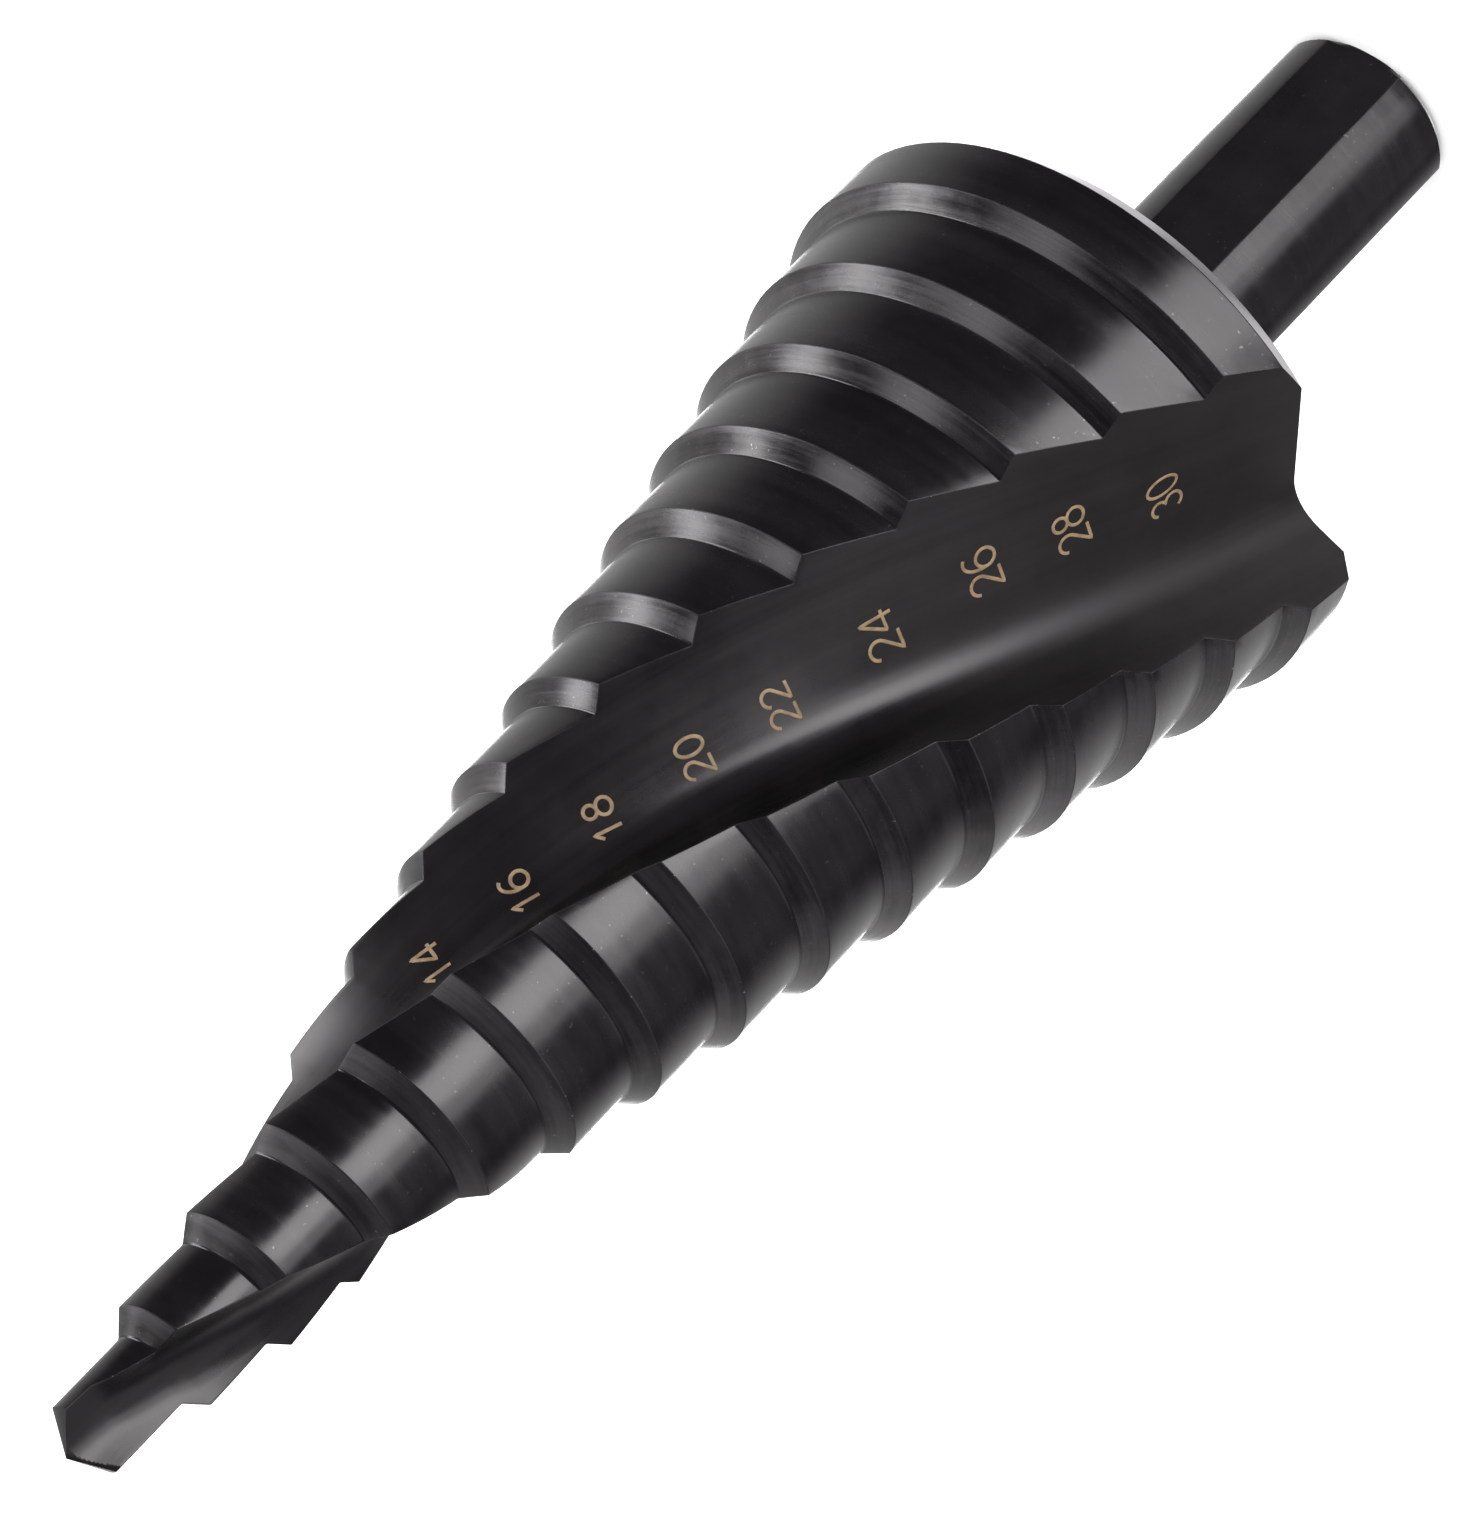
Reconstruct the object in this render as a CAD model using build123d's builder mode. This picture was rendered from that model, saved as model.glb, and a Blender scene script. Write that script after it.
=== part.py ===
"""Step drill, 4 to 32 mm in fifteen 2 mm steps, one solid bar of tool steel.

It stands on the end of its shank with the point up. Z is the drill's axis and the
origin is the centre of the shank's end face. Heights grow towards the point; the
flute is described by its depth below the point, as a tool grinder measures it.
"""
import os
from math import asin, degrees, log, radians, sin, tan

from build123d import *

os.makedirs("parts", exist_ok=True)

# Step head
first_diameter = 4.0            # the pilot step
last_diameter = 32.0            # the largest step
diameter_step = 2.0             # growth from one step to the next
step_pitch = 5.0                # height of one step, ledge included
ledge_angle = 45.0              # slope of the cutting ledge between two steps
head_length = 76.0              # from the point to the back of the head
last_land = 4.45                # height of the largest step, back chamfer included
back_chamfer = 1.1              # on the rear rim of the head

# Point
point_angle = 118.0             # included angle of the point
flank_angle = 46.0              # turn of full flank kept behind each lip
clearance_angle = 58.0          # slope of the clearance ground behind that flank

# Shank
shank_diameter = 10.0
shank_length = 22.7
shank_end_chamfer = 0.45
shank_root_fillet = 0.5
flat_count = 3                  # flats for the jaws of the chuck
flat_depth = 0.5
flat_angle = 55.7               # direction of the first flat's normal

# Flutes, right-hand, steeply twisted at the point and nearly straight at the back
flute_count = 2
lip_angle = 182.0               # direction of the first lip at the point
twist_angle = 104.2             # turn of the lips while the depth grows e times
twist_run = 16.0                # depth at which the twist is fastest
point_lean_angle = 6.0          # slope of the rake wall away from the radius
back_lean_angle = 17.4
web_at_point = 0.17             # radius of the core at the point
core_taper_ratio = 0.176        # growth of the core's radius with depth
core_run = 12.4                 # depth over which that growth sets in
web_thinning_ratio = 0.86       # largest offset of the rake wall, as a share of the core
valley_radius = 2.9             # rounding of the flute's valley, the grinding wheel's edge
flute_sections = 22             # outlines that the flute is lofted through
flute_overreach = 1.5           # how far the flute's walls run on outside the head
end_overrun = 1.0               # how far the flute runs on past both ends of the head

# Worked out from the above
first_radius = first_diameter / 2
last_radius = last_diameter / 2
shank_radius = shank_diameter / 2
radius_step = diameter_step / 2
step_count = int(round((last_diameter - first_diameter) / diameter_step)) + 1
ledge_height = radius_step / tan(radians(ledge_angle))
point_height = first_radius / tan(radians(point_angle / 2))
tip_height = shank_length + head_length
last_edge_height = shank_length + last_land


def cone_radius(depth):
    """Radius of the smooth cone through the middles of the ledges."""
    last_edge_depth = tip_height - last_edge_height
    growth = (depth - last_edge_depth + ledge_height / 2) * radius_step / step_pitch
    return max(first_radius, last_radius - radius_step / 2 + growth)


def lip_direction(depth):
    """Direction of the first cutting lip at a depth below the point."""
    return lip_angle - twist_angle / 2 * log(1 + (depth / twist_run) ** 2)


def core_radius(depth):
    """Radius of the solid core that the flutes leave."""
    return web_at_point + core_taper_ratio * depth ** 2 / (depth + core_run)


def flute_corners(depth):
    """Outline of the flute at one depth: rake wall, rounded valley, heel wall, outside."""
    radius = cone_radius(depth)
    core = core_radius(depth)
    lean = point_lean_angle + (back_lean_angle - point_lean_angle) * depth / head_length
    offset = min(radius * sin(radians(lean)), core * web_thinning_ratio)
    valley_turn = degrees(asin(offset / core)) - lean
    lip = Vector(radius, 0).rotate(Axis.Z, lip_direction(depth))
    valley = Vector(core, 0).rotate(Axis.Z, lip_direction(depth) + valley_turn)

    # The rake wall runs out through the lip, and the heel wall square to the core
    rake = (lip - valley).normalized()
    heel = valley.normalized().rotate(Axis.Z, 90)
    middle = (rake + heel).normalized()
    half_opening = radians(rake.get_angle(heel) / 2)
    setback = valley_radius / tan(half_opening)
    depth_of_round = valley_radius / sin(half_opening) - valley_radius
    reach = radius / sin(half_opening) + flute_overreach
    return {
        "rake_top": valley + rake * reach,
        "rake_foot": valley + rake * setback,
        "bottom": valley + middle * depth_of_round,
        "heel_foot": valley + heel * setback,
        "heel_top": valley + heel * reach,
        "outside": valley + middle * (radius + reach),
    }


# Half section: shank, back of the head, every step and the point
outline = [
    (0, 0),
    (shank_radius - shank_end_chamfer, 0),
    (shank_radius, shank_end_chamfer),
    (shank_radius, shank_length),
    (last_radius - back_chamfer, shank_length),
    (last_radius, shank_length + back_chamfer),
]
for number in range(step_count - 1):
    step_radius = last_radius - number * radius_step
    edge_height = last_edge_height + number * step_pitch
    outline.append((step_radius, edge_height))
    outline.append((step_radius - radius_step, edge_height + ledge_height))
outline.append((first_radius, tip_height - point_height))
outline.append((0, tip_height))

with BuildPart() as flute_cutter:
    for section in range(flute_sections):
        cut_length = head_length + 2 * end_overrun
        depth = cut_length * section / (flute_sections - 1) - end_overrun
        corner = flute_corners(depth)
        with BuildSketch(Plane.XY.offset(tip_height - depth)):
            with BuildLine():
                Line(corner["rake_top"], corner["rake_foot"])
                ThreePointArc(corner["rake_foot"], corner["bottom"], corner["heel_foot"])
                Line(corner["heel_foot"], corner["heel_top"])
                Line(corner["heel_top"], corner["outside"])
                Line(corner["outside"], corner["rake_top"])
            make_face()
    loft()

with BuildPart() as step_drill:
    with BuildSketch(Plane.XZ):
        with BuildLine():
            Polyline(outline, close=True)
        make_face()
    revolve(axis=Axis.Z)

    # Fillet where the shank meets the back of the head
    shank_rings = step_drill.edges().filter_by(GeomType.CIRCLE).filter_by_position(
        Axis.Z, shank_length, shank_length
    )
    fillet(shank_rings.sort_by(SortBy.RADIUS)[0], shank_root_fillet)

    # Flats along the whole shank, up to the root fillet
    with BuildSketch():
        with PolarLocations(shank_radius, flat_count, start_angle=flat_angle):
            Rectangle(2 * flat_depth, shank_diameter)
    extrude(amount=shank_length - shank_root_fillet, mode=Mode.SUBTRACT)

    # Flutes
    with PolarLocations(0, flute_count):
        add(flute_cutter.part, mode=Mode.SUBTRACT)

    # Clearance behind the flank of each lip, which leaves the chisel edge in the middle
    flank_drop = 1 / tan(radians(point_angle / 2))
    clearance_drop = tan(radians(clearance_angle))
    block = 2 * first_diameter
    for number in range(flute_count):
        flank_end = lip_angle - flank_angle + 360 / flute_count * number
        down_flank = Vector(1, 0, -flank_drop).rotate(Axis.Z, flank_end)
        behind_flank = Vector(0, -1, -clearance_drop).rotate(Axis.Z, flank_end)
        ground = Plane((0, 0, tip_height), x_dir=down_flank, z_dir=behind_flank.cross(down_flank))
        with Locations(ground):
            Box(
                2 * block,
                2 * block,
                block,
                align=(Align.CENTER, Align.CENTER, Align.MIN),
                mode=Mode.SUBTRACT,
            )

step_drill.part.label = "step_drill"
export_step(step_drill.part, "parts/step_drill.step")
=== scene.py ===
from math import acos, asin, atan2, cos, exp, log, pi, radians, sin, sqrt, tan

import bpy
from mathutils import Matrix, Vector


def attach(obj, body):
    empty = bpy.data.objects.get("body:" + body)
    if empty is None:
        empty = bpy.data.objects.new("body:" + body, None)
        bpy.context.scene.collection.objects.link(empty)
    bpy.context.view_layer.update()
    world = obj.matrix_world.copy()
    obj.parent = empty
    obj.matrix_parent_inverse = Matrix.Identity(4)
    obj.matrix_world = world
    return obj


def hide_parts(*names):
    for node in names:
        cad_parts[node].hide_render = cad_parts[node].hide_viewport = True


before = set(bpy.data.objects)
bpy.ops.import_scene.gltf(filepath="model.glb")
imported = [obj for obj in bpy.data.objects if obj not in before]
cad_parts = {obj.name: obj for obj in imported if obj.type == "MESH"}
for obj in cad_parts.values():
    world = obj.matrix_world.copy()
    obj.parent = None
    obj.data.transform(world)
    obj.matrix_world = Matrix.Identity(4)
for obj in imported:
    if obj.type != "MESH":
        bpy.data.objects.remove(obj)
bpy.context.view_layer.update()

# The drill is one bar of high speed steel. Its head is turned in fifteen steps, fluted with
# a wheel, relieved behind each lip and blackened. Sizes are in millimetres, heights from the
# end of the shank and depths from the tip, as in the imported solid.
mm = 0.001
tip_height = 98.7
shank_length = 22.7
head_length = 76.0
last_edge = 27.15           # height of the largest step's cutting edge
step_count = 15
step_pitch = 5.0
ledge_height = 1.0
first_radius = 2.0
last_radius = 16.0
radius_step = 1.0
back_chamfer = 1.1
radial_relief = 0.010       # share of the radius lost for each radian behind the lip
axial_relief = 0.17         # drop for each radian behind the lip
edge_width = 0.045          # rounding that grinding leaves on every edge
root_width = 0.10           # rounding at the foot of a ledge

# Two right-hand flutes, which turn fastest a little below the point and slow towards the back
flute_count = 2
lip_at_tip = 182.0          # direction of the first lip
twist = 104.2               # turn of the lips while the depth grows e times
twist_run = 16.0            # depth at which the twist is fastest
web_at_tip = 0.17           # radius of the core
core_taper = 0.176          # growth of the core's radius with depth
core_run = 12.4             # depth over which that growth sets in
lean_at_tip = 6.0           # slope of the rake wall away from the radius
lean_at_back = 17.4
web_thinning = 0.86         # largest offset of the rake wall, as a share of the core
wheel_radius = 2.9          # the wheel's edge rounds the valley between the walls
point_hollow = 0.16         # the wheel leaves the flute this much hollower near the point
hollow_depth = 4.0          # where it is hollowest
hollow_run = 6.0            # depth over which the hollow fades
heel_guess = 2.0            # radians from a heel to the next lip, to start from
heel_rounds = 3             # and how many times it is worked out anew
rake_steps, valley_steps, heel_steps, land_steps = 6, 8, 12, 36
valley_middle = 1 + rake_steps + valley_steps // 2
LAND, LEDGE, FLUTE, EDGE, BACK, CHAMFER = range(6)


def turned(direction, length=1.0):
    return Vector((cos(direction), sin(direction))) * length


def raised(point, height):
    return Vector((point.x, point.y, height))


def flute_section(depth, flute):
    """Foot of both walls, their directions out of it, and half the angle between them."""
    climb = depth - (tip_height - last_edge) + ledge_height / 2
    cone = max(first_radius, last_radius - radius_step / 2 + climb * radius_step / step_pitch)
    core = web_at_tip + core_taper * depth ** 2 / (depth + core_run)
    lean = radians(lean_at_tip + (lean_at_back - lean_at_tip) * depth / head_length)
    valley_turn = asin(min(cone * sin(lean), core * web_thinning) / core) - lean
    first_lip = radians(lip_at_tip - twist / 2 * log(1 + (depth / twist_run) ** 2))
    lip = first_lip + pi * flute
    valley = turned(lip + valley_turn, core)
    rake = (turned(lip, cone) - valley).normalized()
    heel = turned(lip + valley_turn + pi / 2)
    return valley, rake, heel, acos(rake.dot(heel)) / 2


def wall_reach(valley, wall, radius):
    """Length of a wall from the valley to where it meets a circle."""
    along = valley.dot(wall)
    return sqrt(along ** 2 + radius ** 2 - valley.length_squared) - along


def flute_ring(height, radius, drop, flute):
    """One flute and the land after it: lip, rake wall, valley, heel wall, heel, land."""
    depth = tip_height - height
    valley, rake, heel, half = flute_section(depth, flute)
    setback = wheel_radius / tan(half)
    lip_reach = wall_reach(valley, rake, radius)
    points = []
    for i in range(rake_steps + 1):
        reach = lip_reach + (setback - lip_reach) * i / (rake_steps + 1)
        points.append(raised(valley + rake * reach, height))

    centre = valley + (rake + heel).normalized() * wheel_radius / sin(half)
    start = (valley + rake * setback - centre).normalized()
    finish = (valley + heel * setback - centre).normalized()
    bend = start.angle_signed(finish)
    for i in range(valley_steps + 1):
        direction = start.copy()
        direction.rotate(Matrix.Rotation(-bend * i / valley_steps, 2))
        points.append(raised(centre + direction * wheel_radius, height))

    # The relief puts the heel lower than the lip, where the flute has turned a little
    next_valley, next_rake, _, _ = flute_section(depth, flute + 1)
    next_lip = next_valley + next_rake * wall_reach(next_valley, next_rake, radius)
    next_lip_angle = atan2(next_lip.y, next_lip.x)
    behind = heel_guess
    for _ in range(heel_rounds):
        low = height - axial_relief * behind * drop
        low_valley, _, low_heel, _ = flute_section(tip_height - low, flute)
        heel_reach = wall_reach(low_valley, low_heel, radius * (1 - radial_relief * behind))
        corner = low_valley + low_heel * heel_reach
        behind = (next_lip_angle - atan2(corner.y, corner.x)) % (2 * pi)
    for i in range(1, heel_steps + 1):
        share = i / (heel_steps + 1)
        here = height - axial_relief * behind * drop * share
        here_valley, _, here_heel, here_half = flute_section(tip_height - here, flute)
        here_setback = wheel_radius / tan(here_half)
        reach = here_setback + (heel_reach - here_setback) * share
        points.append(raised(here_valley + here_heel * reach, here))
    kinds = [EDGE] + [FLUTE] * (len(points) - 1)

    run = [0.0]
    for before, point in zip(points, points[1:] + [raised(corner, height)]):
        run.append(run[-1] + (point.xy - before.xy).length)
    hollow = point_hollow * exp(-((depth - hollow_depth) / hollow_run) ** 2)
    inward = -(rake + heel).normalized() * hollow
    points = [point + raised(inward * sin(pi * along / run[-1]), 0) for point, along in zip(points, run)]
    for i in range(land_steps):
        remaining = behind * (1 - i / land_steps)
        place = turned(next_lip_angle - remaining, radius * (1 - radial_relief * remaining))
        points.append(raised(place, height - axial_relief * remaining * drop))
    kinds += [EDGE] + [LAND] * (land_steps - 1)
    return points, kinds


def rounded(before, corner, after, width):
    """Four points that round a corner."""
    start = corner + (before - corner).normalized() * width
    end = corner + (after - corner).normalized() * width
    return [start.lerp(corner, t).lerp(corner.lerp(end, t), t) for t in (0, 1 / 3, 2 / 3, 1)]


def soft_edged(points, kinds):
    """An outline with its edges rounded: its points, the kind of the strip after each one,
    and the number that each old point has among them."""
    ring, strips, numbers = [], [], []
    for i, point in enumerate(points):
        numbers.append(len(ring))
        if kinds[i] == EDGE:
            after = (i + 1) % len(points)
            ring += rounded(points[i - 1], point, points[after], edge_width)
            strips += [EDGE, EDGE, EDGE, kinds[after]]
        else:
            ring.append(point)
            strips.append(kinds[i])
    return ring, strips, numbers


def head_ring(height, radius, drop):
    """The head's outline at one height, the kind of each strip, and where both ends of the
    strip lie on the map: their distance from the middle of the flute's valley."""
    points, kinds = [], []
    for flute in range(flute_count):
        flute_points, flute_kinds = flute_ring(height, radius, drop, flute)
        points += flute_points
        kinds += flute_kinds
    ring, strips, numbers = soft_edged(points, kinds)
    along = [0.0]
    for i, point in enumerate(ring):
        along.append(along[i] + (ring[(i + 1) % len(ring)] - point).length)
    spans = []
    for i in range(len(ring)):
        flute = flute_count * i // len(ring)
        valley = along[numbers[valley_middle + flute * len(points) // flute_count]]
        spans.append((along[i] - valley, along[i + 1] - valley))
    return ring, strips, spans


def profile_rows(corners, spacing):
    """Rows of (radius, height, kind) along a turned outline, its corners rounded."""
    rows = []
    for i, (radius, height, width, kind) in enumerate(corners):
        point = Vector((radius, height))
        bend = [point]
        if 0 < i < len(corners) - 1:
            before = Vector(corners[i - 1][:2])
            after = Vector(corners[i + 1][:2])
            bend = rounded(before, point, after, width)
        bend_kind = EDGE if width < root_width else kind
        rows += [(place.x, place.y, bend_kind) for place in bend[:-1]]
        rows.append((bend[-1].x, bend[-1].y, kind))
        if i < len(corners) - 1:
            after = Vector(corners[i + 1][:2])
            start, end = bend[-1], after + (point - after).normalized() * corners[i + 1][2]
            count = max(1, round((end - start).length / spacing))
            for j in range(1, count):
                place = start.lerp(end, j / count)
                rows.append((place.x, place.y, kind))
    return rows


def side_faces(row, size):
    """The faces between one ring of points and the ring below it."""
    low, high = (row - 1) * size, row * size
    return [(low + i, low + (i + 1) % size, high + (i + 1) % size, high + i) for i in range(size)]


def end_faces(count, size):
    """The faces that close the first ring and the last one."""
    return [tuple(reversed(range(size))), tuple(range(count - size, count))]


# The head's half section, as (radius, height, rounding, kind of the surface above it). It
# runs on past the tip, and its rows stand closer where the point is cut from them.
corners = [
    (last_radius - back_chamfer, shank_length, edge_width, CHAMFER),
    (last_radius, shank_length + back_chamfer, edge_width, LAND),
]
for number in range(step_count - 1):
    radius = last_radius - number * radius_step
    height = last_edge + number * step_pitch
    corners.append((radius, height, edge_width, LEDGE))
    corners.append((radius - radius_step, height + ledge_height, root_width, LAND))
overrun = 1.0               # how far the outline goes on past the tip
corners.append((first_radius, tip_height + overrun, edge_width, LAND))
row_spacing = 0.7
rows_end = 1.9              # the depth where these rows give way to finer ones
fine_rows_start = 1.8
fine_row_spacing = 0.1
fine_row_count = 29
rows = [row for row in profile_rows(corners, row_spacing) if row[1] < tip_height - rows_end]
for i in range(fine_row_count):
    rows.append((first_radius, tip_height - fine_rows_start + fine_row_spacing * i, LAND))

# The relief grows from nothing at the back to its full drop at the largest step. A strip of
# land takes its kind from the row below it: a step's side, a ledge or a rounded edge.
vertices, faces, kinds, map_places = [], [], [], []
full_drop = last_edge - shank_length - back_chamfer
for row, (radius, height, row_kind) in enumerate(rows):
    drop = min(1, max(0, (height - shank_length - back_chamfer) / full_drop))
    ring, strips, spans = head_ring(height, radius, drop)
    vertices += [point * mm for point in ring]
    if row:
        faces += side_faces(row, len(ring))
        kinds += [last_kind if kind == LAND else kind for kind in strips]
        for (low_left, low_right), (left, right) in zip(last_spans, spans):
            map_places += [low_left, last_height, low_right, last_height, right, height, left, height]
    last_kind, last_spans, last_height = row_kind, spans, height
faces += end_faces(len(vertices), len(ring))
kinds += [BACK, LAND]
for face in faces[-2:]:
    for i in face:
        map_places += [vertices[i].x / mm, vertices[i].y / mm]


def new_effect(name, inputs, outputs):
    """A shader node group, with the sockets of both its ends."""
    effect = bpy.data.node_groups.new(name, "ShaderNodeTree")
    for socket, kind in inputs:
        effect.interface.new_socket(name=socket, in_out="INPUT", socket_type="NodeSocket" + kind)
    for socket, kind in outputs:
        effect.interface.new_socket(name=socket, in_out="OUTPUT", socket_type="NodeSocket" + kind)
    given = effect.nodes.new("NodeGroupInput").outputs
    result = effect.nodes.new("NodeGroupOutput").inputs
    return effect, given, result


def add_node(tree, kind, inputs, **settings):
    """A node with its settings, and each input set to a value or linked to a socket."""
    node = tree.nodes.new(kind)
    for name, value in settings.items():
        setattr(node, name, value)
    for name, value in inputs.items():
        if isinstance(value, bpy.types.NodeSocket):
            tree.links.new(value, node.inputs[name])
        else:
            node.inputs[name].default_value = value
    return node


def calculate(tree, operation, *values, **settings):
    """The result of a Math node."""
    inputs = dict(enumerate(values))
    return add_node(tree, "ShaderNodeMath", inputs, operation=operation, **settings).outputs[0]


def calculate_vector(tree, operation, *values, **scale):
    """The result of a Vector Math node, a vector or a single value."""
    node = add_node(tree, "ShaderNodeVectorMath", {**dict(enumerate(values)), **scale}, operation=operation)
    return node.outputs["Value" if operation in ("LENGTH", "DOT_PRODUCT") else "Vector"]


def remap(tree, value, start, finish, low=0.0, high=1.0, **settings):
    """A value that goes from low to high while the given one goes from start to finish."""
    inputs = {"Value": value, "From Min": start, "From Max": finish, "To Min": low, "To Max": high}
    return add_node(tree, "ShaderNodeMapRange", inputs, **settings).outputs[0]


def mix_colours(tree, share, first, second):
    inputs = {0: share, 6: first, 7: second}
    return add_node(tree, "ShaderNodeMix", inputs, data_type="RGBA").outputs[2]


# Where a point lies on the drill: its place in millimetres, the direction it faces from
# the axis, its height and its distance from the axis
lathe_place, _, result = new_effect(
    "lathe_place", [],
    [("Place", "Vector"), ("Around", "Vector"), ("Height", "Float"), ("Radius", "Float")])
place = add_node(lathe_place, "ShaderNodeTexCoord", {}).outputs["Object"]
place = calculate_vector(lathe_place, "SCALE", place, Scale=1 / mm)
flat = calculate_vector(lathe_place, "MULTIPLY", place, (1, 1, 0))
around = calculate_vector(lathe_place, "NORMALIZE", flat)
radius = calculate_vector(lathe_place, "LENGTH", flat)
split = add_node(lathe_place, "ShaderNodeSeparateXYZ", {0: place})
lathe_place.links.new(place, result["Place"])
lathe_place.links.new(around, result["Around"])
lathe_place.links.new(split.outputs["Z"], result["Height"])
lathe_place.links.new(radius, result["Radius"])

# Grooves that a tool leaves: fine ones side by side, and broad bands where it bit deeper
tool_marks, given, result = new_effect(
    "tool_marks", [("Pattern", "Vector")], [("Groove", "Float"), ("Band", "Float")])
fine = add_node(tool_marks, "ShaderNodeTexNoise", {
    "Vector": given["Pattern"], "Scale": 1.0, "Detail": 3.0, "Roughness": 0.6})
broad = add_node(tool_marks, "ShaderNodeTexNoise", {
    "Vector": given["Pattern"], "Scale": 0.22, "Detail": 2.0})
band = remap(tool_marks, broad.outputs["Fac"], 0.36, 0.64)
tool_marks.links.new(fine.outputs["Fac"], result["Groove"])
tool_marks.links.new(band, result["Band"])

# Black oxide: soft clouds where the bath took unevenly, and a few bright specks
oxide_film, given, result = new_effect(
    "oxide_film", [("Place", "Vector")], [("Cloud", "Float"), ("Speck", "Float")])
broad = add_node(oxide_film, "ShaderNodeTexNoise", {
    "Vector": given["Place"], "Scale": 0.3, "Detail": 5.0, "Roughness": 0.62})
cloud = remap(oxide_film, broad.outputs["Fac"], 0.36, 0.66)
small = add_node(oxide_film, "ShaderNodeTexNoise", {
    "Vector": given["Place"], "Scale": 4.5, "Detail": 2.0})
speck = remap(oxide_film, small.outputs["Fac"], 0.70, 0.76)
oxide_film.links.new(cloud, result["Cloud"])
oxide_film.links.new(speck, result["Speck"])

bare_steel = (0.35, 0.34, 0.34, 1)


def blackened_steel(name, lines, dark, pale, roughness, groove, streaks, specks, rougher=(0, 1, 0)):
    """Oxidised steel with tool marks. The lines are counts for each radian around the axis,
    millimetre of height and millimetre of radius. With none around the axis they follow the
    flute, by the mesh's own map. From one height to another the surface gets rougher."""
    around_lines, height_lines, radius_lines = lines
    steel = bpy.data.materials.new(name)
    steel.use_nodes = True
    tree = steel.node_tree
    shader = tree.nodes["Principled BSDF"]
    shader.inputs["Metallic"].default_value = 1.0
    place = add_node(tree, "ShaderNodeGroup", {}, node_tree=lathe_place)
    if around_lines:
        rise = calculate(tree, "MULTIPLY", place.outputs["Height"], height_lines)
        rise = calculate(tree, "MULTIPLY_ADD", place.outputs["Radius"], radius_lines, rise)
        upward = add_node(tree, "ShaderNodeCombineXYZ", {"Z": rise}).outputs[0]
        all_round = (around_lines, around_lines, around_lines)
        pattern = calculate_vector(tree, "MULTIPLY_ADD", place.outputs["Around"], all_round, upward)
    else:
        flute_map = add_node(tree, "ShaderNodeUVMap", {}, uv_map="drill_map").outputs[0]
        pattern = calculate_vector(tree, "MULTIPLY", flute_map, (radius_lines, height_lines, 0))
    marks = add_node(tree, "ShaderNodeGroup", {"Pattern": pattern}, node_tree=tool_marks)
    film = add_node(tree, "ShaderNodeGroup", {"Place": place.outputs["Place"]}, node_tree=oxide_film)
    share = calculate(tree, "ADD", marks.outputs["Band"], film.outputs["Cloud"])
    share = calculate(tree, "MULTIPLY", share, 0.5)
    share = calculate(tree, "MULTIPLY_ADD", marks.outputs["Groove"], streaks, share)
    share = calculate(tree, "SUBTRACT", share, streaks / 2, use_clamp=True)
    oxide = mix_colours(tree, share, dark + (1,), pale + (1,))
    worn = calculate(tree, "MULTIPLY", film.outputs["Speck"], specks)
    colour = mix_colours(tree, worn, oxide, bare_steel)
    tree.links.new(colour, shader.inputs["Base Color"])
    rough = remap(tree, share, 0, 1, *roughness)
    start, finish, more = rougher
    more = remap(tree, place.outputs["Height"], start, finish, 0, more, interpolation_type="SMOOTHSTEP")
    rough = calculate(tree, "ADD", rough, more)
    tree.links.new(rough, shader.inputs["Roughness"])
    bump = add_node(tree, "ShaderNodeBump", {
        "Strength": 1.0, "Distance": groove * mm, "Height": marks.outputs["Groove"]})
    tree.links.new(bump.outputs[0], shader.inputs["Normal"])
    return steel


land_finish = blackened_steel(
    "turned_land", lines=(2.5, 5.0, 0.0), dark=(0.040, 0.0385, 0.0395), pale=(0.055, 0.053, 0.054),
    roughness=(0.20, 0.30), groove=0.0018, streaks=0.4, specks=0.2)
ledge_finish = blackened_steel(
    "ground_ledge", lines=(2.5, 4.2, -4.2), dark=(0.042, 0.0405, 0.0415), pale=(0.092, 0.089, 0.091),
    roughness=(0.17, 0.34), groove=0.0045, streaks=0.9, specks=0.3, rougher=(58, 78, 0.2))
flute_finish = blackened_steel(
    "ground_flute", lines=(0.0, 0.06, 4.0), dark=(0.040, 0.0385, 0.0395), pale=(0.054, 0.052, 0.053),
    roughness=(0.25, 0.34), groove=0.0012, streaks=0.6, specks=0.0, rougher=(50, 30, 0.32))
edge_finish = blackened_steel(
    "worn_edge", lines=(3.0, 1.5, 0.0), dark=(0.030, 0.029, 0.030), pale=(0.070, 0.068, 0.070),
    roughness=(0.40, 0.55), groove=0.0020, streaks=1.0, specks=1.0)
back_finish = blackened_steel(
    "faced_end", lines=(1.5, 0.0, 5.0), dark=(0.040, 0.0385, 0.0395), pale=(0.058, 0.056, 0.057),
    roughness=(0.24, 0.34), groove=0.0022, streaks=0.5, specks=0.2)
# The chamfers' pale colour is a painted highlight: it stands for the bright line of light along the head's
# back rim and the shank's end. The specks on it are wear.
chamfer_painted_highlight_finish = blackened_steel(
    "turned_chamfer_painted_highlight", lines=(3.0, 5.0, 0.0), dark=(0.55, 0.54, 0.55), pale=(0.78, 0.77, 0.78),
    roughness=(0.30, 0.40), groove=0.0020, streaks=0.5, specks=0.6)
finishes = [land_finish, ledge_finish, flute_finish, edge_finish, back_finish, chamfer_painted_highlight_finish]


def steel_object(name, vertices, faces, kinds):
    """An object that has all the finishes, with the kind of each face choosing among them."""
    mesh = bpy.data.meshes.new(name)
    for finish in finishes:
        mesh.materials.append(finish)
    mesh.from_pydata(vertices, [], faces)
    mesh.polygons.foreach_set("material_index", kinds)
    made = bpy.data.objects.new(name, mesh)
    bpy.context.scene.collection.objects.link(made)
    return made


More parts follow.
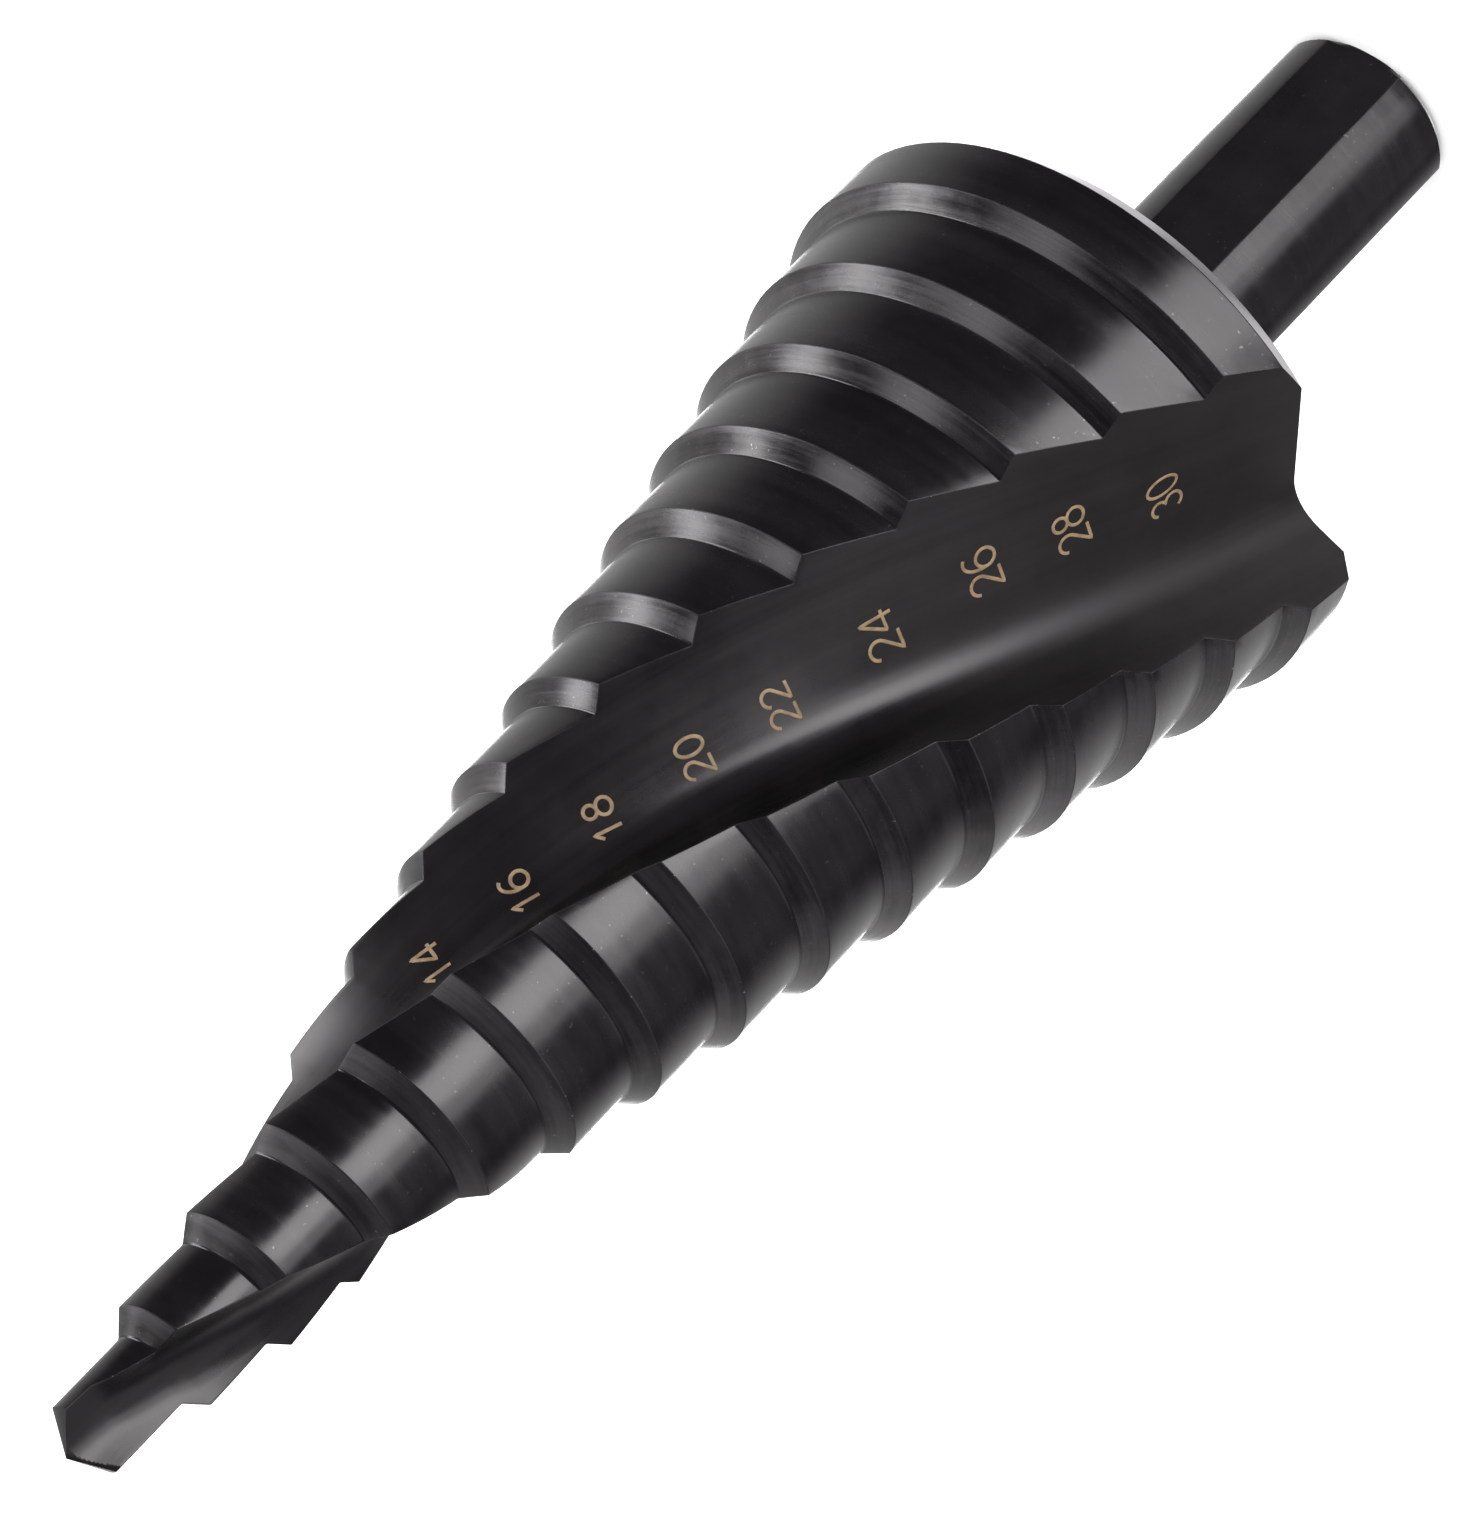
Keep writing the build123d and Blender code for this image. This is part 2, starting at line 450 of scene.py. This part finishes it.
body = steel_object("drill", vertices, faces, kinds)
body.data.uv_layers.new(name="drill_map").data.foreach_set("uv", map_places)

# The shank is turned on the same bar, with three flats for the jaws of the chuck, a
# chamfered end and a small fillet at its root. It runs on into the head, to be one with it.
shank_radius = 5.0
flat_count = 3
flat_depth = 0.5
flat_direction = radians(55.7)
end_chamfer = 0.45
root_fillet = 0.5
overlap = 1.0               # how far it runs into the head
shank_row_spacing = 1.0
flat_steps, round_steps, fillet_steps = 8, 18, 6


def shank_ring(height, radius, has_flats):
    """The shank's outline at one height: its flats and the round stretches between them."""
    half_flat = acos(1 - flat_depth / shank_radius)
    across = shank_radius - flat_depth
    points, kinds = [], []
    for flat in range(flat_count):
        middle = flat_direction + flat * 2 * pi / flat_count
        for i in range(flat_steps):
            turn = half_flat * (2 * i / flat_steps - 1)
            length = min(radius, across / cos(turn)) if has_flats else radius
            points.append(raised(turned(middle + turn, length), height))
        for i in range(round_steps):
            turn = half_flat + (2 * pi / flat_count - 2 * half_flat) * i / round_steps
            points.append(raised(turned(middle + turn, radius), height))
        kinds += [EDGE] + [BACK] * (flat_steps - 1) + [EDGE] + [LAND] * (round_steps - 1)
    return soft_edged(points, kinds)


shank_corners = [
    (shank_radius - 2 * end_chamfer, 0, edge_width, BACK),
    (shank_radius - end_chamfer, 0, edge_width, CHAMFER),
    (shank_radius, end_chamfer, edge_width, LAND),
    (shank_radius, shank_length - root_fillet, edge_width, LAND),
]
shank_rows = []
for radius, height, _ in profile_rows(shank_corners, shank_row_spacing):
    shank_rows.append((radius, height, True))
for i in range(fillet_steps + 1):
    bend = pi / 2 * i / fillet_steps
    radius = shank_radius + root_fillet * (1 - cos(bend))
    shank_rows.append((radius, shank_length - root_fillet * (1 - sin(bend)), False))
shank_rows.append((shank_radius + root_fillet, shank_length + overlap, False))
vertices, faces, kinds = [], [], []
for row, (radius, height, has_flats) in enumerate(shank_rows):
    ring, strips, _ = shank_ring(height, radius, has_flats)
    vertices += [point * mm for point in ring]
    if row:
        faces += side_faces(row, len(ring))
        kinds += strips
faces += end_faces(len(vertices), len(ring))
kinds += [BACK, BACK]
shank = steel_object("shank", vertices, faces, kinds)

# The point: a wheel takes off what stands outside the 118 degree cone, and then the metal
# behind each lip's flank. The cutters have the shape of the metal that is ground away.
cone_angle = 59.0           # from the axis
flank_angle = 46.0          # turn of full flank kept behind each lip
clearance_angle = 58.0      # slope of the clearance ground behind that flank
cutter_radius = 3.0
cutter_rise = 2.0           # above the tip
cutter_segments = 192
block = 8.0                 # half the width of a clearance cutter, and its whole height
point_slope = 1 / tan(radians(cone_angle))
vertices = [Vector((0, 0, tip_height)), Vector((0, 0, tip_height + cutter_rise))]
for height in (tip_height - cutter_radius * point_slope, tip_height + cutter_rise):
    for i in range(cutter_segments):
        vertices.append(raised(turned(2 * pi * i / cutter_segments, cutter_radius), height))
faces = []
for i in range(cutter_segments):
    j = (i + 1) % cutter_segments
    low_left, low_right = 2 + i, 2 + j
    left, right = low_left + cutter_segments, low_right + cutter_segments
    faces += [(0, low_right, low_left), (low_left, low_right, right, left), (1, left, right)]
cutters = [steel_object("cone_cutter", [place * mm for place in vertices], faces, [BACK] * len(faces))]
for flute in range(flute_count):
    flank_end = radians(lip_at_tip - flank_angle) + pi * flute
    down = raised(turned(flank_end), -point_slope).normalized()
    behind_flank = raised(turned(flank_end - pi / 2), -tan(radians(clearance_angle)))
    out = behind_flank.cross(down).normalized()
    across = out.cross(down)
    vertices = []
    for above in (0, block):
        for aside in (-block, block):
            for along in (-block, block):
                place = Vector((0, 0, tip_height)) + down * along + across * aside + out * above
                vertices.append(place * mm)
    faces = [(0, 2, 3, 1), (4, 5, 7, 6), (0, 1, 5, 4), (2, 6, 7, 3), (0, 4, 6, 2), (1, 3, 7, 5)]
    cutters.append(steel_object("clearance_cutter", vertices, faces, [BACK] * len(faces)))

# Head and shank are joined and the point is ground, and the whole becomes one plain mesh
for part in [shank] + cutters:
    joint = body.modifiers.new(part.name, "BOOLEAN")
    joint.operation = "UNION" if part == shank else "DIFFERENCE"
    joint.solver = "MANIFOLD"
    joint.object = part
depsgraph = bpy.context.evaluated_depsgraph_get()
whole = bpy.data.meshes.new_from_object(body.evaluated_get(depsgraph))
body.modifiers.clear()
body.data = whole
for part in [shank] + cutters:
    bpy.data.objects.remove(part)
sharp_angle = radians(40)
whole.shade_smooth()
whole.set_sharp_from_angle(angle=sharp_angle)
normals = body.modifiers.new("normals", "WEIGHTED_NORMAL")
normals.keep_sharp = True

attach(body, "root")
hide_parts("step_drill")

# The size marks: each step's diameter in millimetres, burnt into the flute's long wall by a
# laser next to its step. The laser draws single strokes, which stay tan on the black steel.
mark_places = {             # along the wall from the valley, and height
    14: (2.2, 70.6), 16: (2.0, 65.7), 18: (2.45, 60.8), 20: (2.6, 55.9), 22: (2.7, 51.4),
    24: (3.6, 45.7), 26: (4.5, 40.1), 28: (4.75, 35.4), 30: (4.6, 30.4),
}
marked_flute = 1
large_text = 1.08, 1.75     # width and height of a digit, between the middles of its strokes
small_text = 0.92, 1.42
small_from = 22             # this size and all below it have small text
digit_gap = 0.18
stroke_width = 0.19
bead_spacing = 0.1
mark_lift = 0.012           # a bead stands this far out of the wall
drawn_above = 0.6           # the strokes start this far off the wall
drop_reach = 3.0            # and land on it within this distance
bead_sides = 8
level_size = 27.5           # the mark that would stand straight across the wall
lean_for_each_size = 2.1
largest_lean = 20.0
closing_gap = 0.01          # a stroke whose ends are this close is a ring


def arc(centre_x, centre_y, half_width, half_height, start, finish, steps=18):
    """Points along part of an ellipse, in shares of a digit's width and height."""
    turns = [radians(start + (finish - start) * i / steps) for i in range(steps + 1)]
    return [(centre_x + half_width * cos(turn), centre_y + half_height * sin(turn)) for turn in turns]


digit_strokes = {
    "0": [arc(0.50, 0.50, 0.46, 0.50, 0, 360)],
    "1": [[(0.16, 0.72), (0.52, 1.0), (0.52, 0.0)]],
    "2": [arc(0.50, 0.71, 0.44, 0.29, 168, -38) + [(0.04, 0.0), (0.98, 0.0)]],
    "3": [arc(0.48, 0.76, 0.38, 0.24, 158, -85) + arc(0.48, 0.27, 0.46, 0.27, 82, -156)],
    "4": [[(0.74, 0.0), (0.74, 1.0), (0.0, 0.27), (1.0, 0.27)]],
    "6": [arc(0.50, 0.30, 0.45, 0.30, 0, 360), arc(0.62, 0.42, 0.57, 0.58, 62, 190)],
    "8": [arc(0.50, 0.77, 0.36, 0.23, 0, 360), arc(0.50, 0.27, 0.46, 0.27, 0, 360)],
}


def wall_point(height, across):
    """A point on the marked flute's long wall."""
    valley, _, heel, _ = flute_section(tip_height - height, marked_flute)
    return raised(valley + heel * across, height)


def mark_directions(size, across, height):
    """Along the text, up it, and out of the wall, where the mark of a size stands."""
    level = (wall_point(height, across + 1) - wall_point(height, across)).normalized()
    rise = wall_point(height + 0.5, across) - wall_point(height - 0.5, across)
    upright = (rise - level * rise.dot(level)).normalized()
    outward = level.cross(upright)
    lean = min(largest_lean, lean_for_each_size * (level_size - size))
    lean = Matrix.Rotation(radians(-lean), 3, outward)
    return lean @ level, lean @ upright, outward


points, edges, outwards = [], [], []
for size, (across, height) in mark_places.items():
    middle = wall_point(height, across)
    level, upright, outward = mark_directions(size, across, height)
    text = str(size)
    digit_width, digit_height = small_text if size <= small_from else large_text
    total = len(text) * digit_width + (len(text) - 1) * digit_gap
    for number, digit in enumerate(text):
        left = number * (digit_width + digit_gap) - total / 2
        for stroke in digit_strokes[digit]:
            closed = (Vector(stroke[0]) - Vector(stroke[-1])).length < closing_gap
            first = len(points)
            for x, y in stroke[:-1] if closed else stroke:
                along, up = left + x * digit_width, (y - 0.5) * digit_height
                place = middle + level * along + upright * up
                points.append((place + outward * drawn_above) * mm)
                outwards.extend(outward)
            edges += [(i, i + 1) for i in range(first, len(points) - 1)]
            if closed:
                edges.append((len(points) - 1, first))
stroke_mesh = bpy.data.meshes.new("size_marks")
stroke_mesh.from_pydata(points, edges, [])
outward_values = stroke_mesh.attributes.new("outward", "FLOAT_VECTOR", "POINT").data
outward_values.foreach_set("vector", outwards)
size_marks = bpy.data.objects.new("size_marks", stroke_mesh)
bpy.context.scene.collection.objects.link(size_marks)

# Burnt oxide: tan, a little browner where the beam slowed down
brown = (0.135, 0.084, 0.041, 1)
tan_oxide = (0.215, 0.143, 0.072, 1)
burnt = bpy.data.materials.new("burnt_mark")
burnt.use_nodes = True
tree = burnt.node_tree
shader = tree.nodes["Principled BSDF"]
place = add_node(tree, "ShaderNodeGroup", {}, node_tree=lathe_place)
film = add_node(tree, "ShaderNodeTexNoise", {
    "Vector": place.outputs["Place"], "Scale": 2.2, "Detail": 3.0}).outputs["Fac"]
share = remap(tree, film, 0.35, 0.65)
tree.links.new(mix_colours(tree, share, brown, tan_oxide), shader.inputs["Base Color"])
tree.links.new(remap(tree, film, 0, 1, 0.45, 0.7), shader.inputs["Roughness"])

# The strokes become flat beads, dropped onto the wall
laser = bpy.data.node_groups.new("laser_strokes", "GeometryNodeTree")
laser.is_modifier = True
for name, kind in (("Geometry", "Geometry"), ("Drill", "Object"), ("Stroke width", "Float"),
                   ("Spacing", "Float"), ("Lift", "Float"), ("Reach", "Float"), ("Finish", "Material")):
    laser.interface.new_socket(name=name, in_out="INPUT", socket_type="NodeSocket" + kind)
laser.interface.new_socket(name="Geometry", in_out="OUTPUT", socket_type="NodeSocketGeometry")
given = laser.nodes.new("NodeGroupInput").outputs
result = laser.nodes.new("NodeGroupOutput").inputs
strokes = add_node(laser, "GeometryNodeMeshToCurve", {0: given["Geometry"]})
strokes = add_node(laser, "GeometryNodeResampleCurve", {
    "Curve": strokes.outputs[0], "Length": given["Spacing"]}, mode="LENGTH")
place = add_node(laser, "GeometryNodeInputPosition", {}).outputs[0]
middle = add_node(laser, "GeometryNodeCaptureAttribute", {0: strokes.outputs[0]}, domain="POINT")
middle.capture_items.new("VECTOR", "Middle")
laser.links.new(place, middle.inputs[1])
half_width = calculate(laser, "MULTIPLY", given["Stroke width"], 0.5)
tip = add_node(laser, "GeometryNodeCurvePrimitiveCircle", {"Resolution": bead_sides, "Radius": half_width})
beads = add_node(laser, "GeometryNodeCurveToMesh", {
    0: middle.outputs[0], 1: tip.outputs[0], "Fill Caps": True})
outward = add_node(laser, "GeometryNodeInputNamedAttribute", {"Name": "outward"}, data_type="FLOAT_VECTOR")
outward = outward.outputs[0]
offset = calculate_vector(laser, "SUBTRACT", place, middle.outputs[1])
side = calculate_vector(laser, "DOT_PRODUCT", offset, outward)
level = calculate_vector(laser, "SUBTRACT", place, calculate_vector(laser, "SCALE", outward, Scale=side))
inward = calculate_vector(laser, "SCALE", outward, Scale=-1)
drill_shape = add_node(laser, "GeometryNodeObjectInfo", {0: given["Drill"]})
wall = add_node(laser, "GeometryNodeRaycast", {
    0: drill_shape.outputs["Geometry"], "Source Position": level, "Ray Direction": inward,
    "Ray Length": given["Reach"]})
share = calculate(laser, "DIVIDE", side, half_width)
share = calculate(laser, "MULTIPLY_ADD", share, 0.5, 0.5)
lift = calculate(laser, "MULTIPLY", share, given["Lift"])
lift = calculate_vector(laser, "SCALE", outward, Scale=lift)
landed = calculate_vector(laser, "ADD", wall.outputs["Hit Position"], lift)
dropped = add_node(laser, "GeometryNodeSetPosition", {0: beads.outputs[0], "Position": landed})
plain = add_node(laser, "GeometryNodeRealizeInstances", {0: dropped.outputs[0]})
burn = add_node(laser, "GeometryNodeSetMaterial", {0: plain.outputs[0], "Material": given["Finish"]})
laser.links.new(burn.outputs[0], result["Geometry"])

marking = size_marks.modifiers.new("laser", "NODES")
marking.node_group = laser
laser_inputs = {
    "Drill": body, "Stroke width": stroke_width * mm, "Spacing": bead_spacing * mm,
    "Lift": mark_lift * mm, "Reach": drop_reach * mm, "Finish": burnt,
}
for item in laser.interface.items_tree:
    if item.in_out == "INPUT" and item.name in laser_inputs:
        marking[item.identifier] = laser_inputs[item.name]
depsgraph = bpy.context.evaluated_depsgraph_get()
marks_mesh = bpy.data.meshes.new_from_object(size_marks.evaluated_get(depsgraph))
size_marks.modifiers.clear()
size_marks.data = marks_mesh
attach(size_marks, "root")

# Camera: 26.7 degrees above the horizon on the -Y side, rolled so that the point is at
# the lower left of the frame. A long lens, 0.29 m away, sees the whole drill.
camera_elevation = 26.73
camera_roll = -136.02
camera_distance = 0.29365
camera_aim = Vector((-0.00005, 0, 0.05123))
camera_data = bpy.data.cameras.new("camera")
camera_data.sensor_fit = "VERTICAL"
camera_data.sensor_height = 36
camera_data.lens = 147.07
camera_data.clip_start = 0.01
camera = bpy.data.objects.new("camera", camera_data)
tilt = Matrix.Rotation(radians(90 - camera_elevation), 4, "X")
roll = Matrix.Rotation(radians(camera_roll), 4, "Z")
back_off = Matrix.Translation((0, 0, camera_distance))
camera.matrix_world = Matrix.Translation(camera_aim) @ tilt @ back_off @ roll
bpy.context.scene.collection.objects.link(camera)
bpy.context.scene.camera = camera

# Floor: a plain, matt, nearly white sheet. It neither shades the steel nor mirrors in it,
# because the drill is lit from all round, as on a light table.
floor_half = 3.0
floor_white = (0.95, 0.95, 0.95, 1)
floor_corners = [
    (-floor_half, -floor_half, 0), (floor_half, -floor_half, 0),
    (floor_half, floor_half, 0), (-floor_half, floor_half, 0),
]
floor_mesh = bpy.data.meshes.new("floor")
floor_mesh.from_pydata(floor_corners, [], [(0, 1, 2, 3)])
floor = bpy.data.objects.new("floor", floor_mesh)
bpy.context.scene.collection.objects.link(floor)
pale_floor = bpy.data.materials.new("pale_floor")
pale_floor.use_nodes = True
shader = pale_floor.node_tree.nodes["Principled BSDF"]
shader.inputs["Base Color"].default_value = floor_white
shader.inputs["Roughness"].default_value = 1
shader.inputs["Specular IOR Level"].default_value = 0
floor_mesh.materials.append(pale_floor)
floor.visible_glossy = False
floor.visible_shadow = False

# Studio light: a white room whose front half is hidden from the steel by dark cloth, so
# that only the panels and the pale wall behind it show in the ground faces.
room_brightness = 2.2
wall_side = (0.17, 0.985, 0)
dark_cloth = (0.155, 0.132, 0.151, 1)
pale_wall = (0.75, 0.74, 0.75, 1)
world = bpy.data.worlds.new("studio")
bpy.context.scene.world = world
world.use_nodes = True
tree = world.node_tree
tree.nodes.clear()
room = add_node(tree, "ShaderNodeBackground", {"Color": (1, 1, 1, 1), "Strength": room_brightness})
facing = add_node(tree, "ShaderNodeTexCoord", {}).outputs["Generated"]
facing = calculate_vector(tree, "DOT_PRODUCT", facing, wall_side)
share = remap(tree, facing, 0.05, 0.55, interpolation_type="SMOOTHSTEP")
shade = mix_colours(tree, share, dark_cloth, pale_wall)
backdrop = add_node(tree, "ShaderNodeBackground", {"Color": shade})
path = add_node(tree, "ShaderNodeLightPath", {})
seen = add_node(tree, "ShaderNodeMixShader", {
    0: path.outputs["Is Glossy Ray"], 1: room.outputs[0], 2: backdrop.outputs[0]})
add_node(tree, "ShaderNodeOutputWorld", {0: seen.outputs[0]})

panels_aim = Vector((0, 0, 0.05))
panel_distance = 0.6


def softbox(name, azimuth, elevation, width, height, radiance):
    """A panel that faces the middle of the drill. Azimuth 0 is on the -Y side and grows
    towards +X."""
    toward = Vector((sin(radians(azimuth)) * cos(radians(elevation)),
                     -cos(radians(azimuth)) * cos(radians(elevation)), sin(radians(elevation))))
    data = bpy.data.lights.new(name, "AREA")
    data.shape = "RECTANGLE"
    data.size = width
    data.size_y = height
    data.energy = radiance * pi * width * height
    lamp = bpy.data.objects.new(name, data)
    lamp.location = panels_aim + toward * panel_distance
    lamp.rotation_mode = "QUATERNION"
    lamp.rotation_quaternion = (-toward).to_track_quat("-Z", "Y")
    lamp.visible_diffuse = False
    lamp.visible_camera = False
    bpy.context.scene.collection.objects.link(lamp)


softbox("key", azimuth=-9, elevation=-21, width=0.29, height=0.34, radiance=6.2)
softbox("key_soft_side", azimuth=-32, elevation=-19, width=0.18, height=0.50, radiance=2.5)
softbox("right", azimuth=95, elevation=18, width=0.36, height=0.14, radiance=10.0)
softbox("far_right", azimuth=110, elevation=33, width=0.16, height=0.12, radiance=8.0)
softbox("upper_right", azimuth=64, elevation=52, width=0.22, height=0.18, radiance=2.4)
softbox("left_edge", azimuth=130, elevation=-2, width=0.18, height=0.12, radiance=1.8)
softbox("left_fill", azimuth=-66, elevation=4, width=0.50, height=0.46, radiance=0.50)
softbox("low_left", azimuth=-72, elevation=-35, width=0.45, height=0.26, radiance=0.22)
softbox("behind", azimuth=180, elevation=-25, width=0.30, height=0.50, radiance=4.0)

bpy.context.scene.view_settings.view_transform = "Standard"
